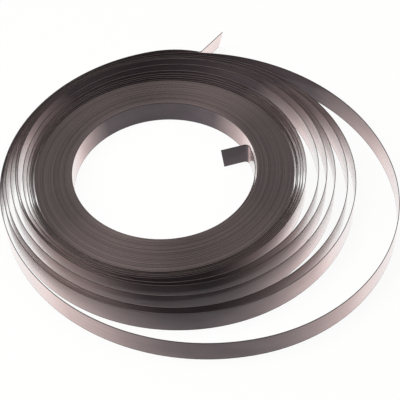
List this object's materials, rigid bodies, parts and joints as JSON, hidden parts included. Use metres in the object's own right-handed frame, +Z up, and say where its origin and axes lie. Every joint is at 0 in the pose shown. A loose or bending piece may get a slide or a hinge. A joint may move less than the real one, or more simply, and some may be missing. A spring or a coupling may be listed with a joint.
{
  "type": "coil of steel banding",
  "caption": "Flat steel banding wound on its width into a tight roll with an open bore, its outer turns sprung loose and both ends bent out of the winding.",
  "frame": {"origin": "middle of the coil's footprint on the floor it lies on", "axes": "+Z up along the coil's axis, -Y towards the viewer of the picture, +X to their right"},
  "size_m": [0.2984, 0.3154, 0.0192],
  "materials": {
    "steel": "dark rolled, satin"
  },
  "bodies": {
    "root": {"steel_band": "steel"}
  },
  "joints": []
}
